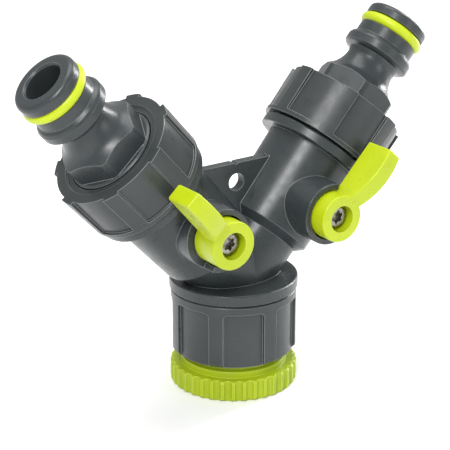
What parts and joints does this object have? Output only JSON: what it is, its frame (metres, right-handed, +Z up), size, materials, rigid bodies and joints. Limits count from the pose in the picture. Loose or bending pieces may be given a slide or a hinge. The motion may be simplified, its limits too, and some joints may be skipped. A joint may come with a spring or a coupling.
{
  "type": "hose splitter",
  "caption": "Y-shaped garden hose splitter with a threaded inlet, a ball valve and lever in each arm, and push-fit outlets.",
  "frame": {"origin": "on the inlet axis, at the bottom face of the reducer", "axes": "+Z up the inlet axis, arms in the XZ plane, valve levers towards -Y"},
  "size_m": [0.1112, 0.0415, 0.0875],
  "materials": {
    "grey_plastic": "satin moulded polypropylene, blue-grey",
    "nut_plastic": "satin moulded polypropylene, blue-grey, slightly darker",
    "lime_plastic": "satin moulded lime-yellow plastic",
    "lime_grip": "satin moulded lime-yellow plastic, scalloped",
    "lime_rubber": "smooth lime-yellow seal rubber",
    "black_rubber": "black seal rubber",
    "white_plastic": "natural acetal",
    "seat_plastic": "soft white seal plastic",
    "ball_plastic": "polished plastic ball",
    "screw_steel": "bright zinc-plated steel"
  },
  "bodies": {
    "body": {"y_body": "grey_plastic", "inlet_retaining_ring": "white_plastic", "left_inner_seat": "seat_plastic", "left_outer_seat": "seat_plastic", "left_seat_retainer": "white_plastic", "right_inner_seat": "seat_plastic", "right_outer_seat": "seat_plastic", "right_seat_retainer": "white_plastic"},
    "inlet_nut": {"inlet_nut": "nut_plastic"},
    "gasket_carrier": {"inlet_gasket": "black_rubber"},
    "reducer": {"reducer": "lime_grip", "reducer_washer": "black_rubber"},
    "left_valve": {"left_valve_lever": "lime_plastic", "left_lever_screw": "screw_steel", "left_valve_stem": "white_plastic", "left_stem_seals": "black_rubber", "left_valve_ball": "ball_plastic"},
    "left_outlet": {"left_nozzle": "grey_plastic", "left_nozzle_o_ring": "lime_rubber", "left_nozzle_gasket": "black_rubber"},
    "left_union_nut": {"left_union_nut": "nut_plastic"},
    "right_valve": {"right_valve_lever": "lime_plastic", "right_lever_screw": "screw_steel", "right_valve_stem": "white_plastic", "right_stem_seals": "black_rubber", "right_valve_ball": "ball_plastic"},
    "right_outlet": {"right_nozzle": "grey_plastic", "right_nozzle_o_ring": "lime_rubber", "right_nozzle_gasket": "black_rubber"},
    "right_union_nut": {"right_union_nut": "nut_plastic"}
  },
  "joints": [
    {"name": "inlet_nut_spin", "type": "hinge", "parent": "body", "child": "inlet_nut", "pos_m": [0, 0, 0.016], "axis": [0, 0, 1], "continuous": true},
    {"name": "inlet_gasket_slide", "type": "slide", "parent": "inlet_nut", "child": "gasket_carrier", "axis": [0, 0, -1], "range_m": [0, 0.0091]},
    {"name": "reducer_unscrew", "type": "hinge", "parent": "gasket_carrier", "child": "reducer", "pos_m": [0, 0, 0.01], "axis": [0, 0, -1], "range_deg": [0, 1800]},
    {"name": "left_valve_turn", "type": "hinge", "parent": "body", "child": "left_valve", "pos_m": [-0.01544, -0.0145, 0.04414], "axis": [0, -1, 0], "range_deg": [0, 90]},
    {"name": "left_outlet_slide", "type": "slide", "parent": "body", "child": "left_outlet", "axis": [-0.6691, 0, 0.7431], "range_m": [0, 0.00636]},
    {"name": "left_union_unscrew", "type": "hinge", "parent": "left_outlet", "child": "left_union_nut", "pos_m": [-0.02944, 0, 0.0597], "axis": [-0.6691, 0, 0.7431], "range_deg": [0, 1260]},
    {"name": "right_valve_turn", "type": "hinge", "parent": "body", "child": "right_valve", "pos_m": [0.01544, -0.0145, 0.04414], "axis": [0, 1, 0], "range_deg": [0, 90]},
    {"name": "right_outlet_slide", "type": "slide", "parent": "body", "child": "right_outlet", "axis": [0.6691, 0, 0.7431], "range_m": [0, 0.00636]},
    {"name": "right_union_unscrew", "type": "hinge", "parent": "right_outlet", "child": "right_union_nut", "pos_m": [0.02944, 0, 0.0597], "axis": [0.6691, 0, 0.7431], "range_deg": [0, 1260]}
  ],
  "couplings": [
    {"joint": "inlet_gasket_slide", "follows": "reducer_unscrew", "m_per_rad": 0.00028871},
    {"joint": "left_outlet_slide", "follows": "left_union_unscrew", "m_per_rad": 0.00028871},
    {"joint": "right_outlet_slide", "follows": "right_union_unscrew", "m_per_rad": 0.00028871}
  ]
}
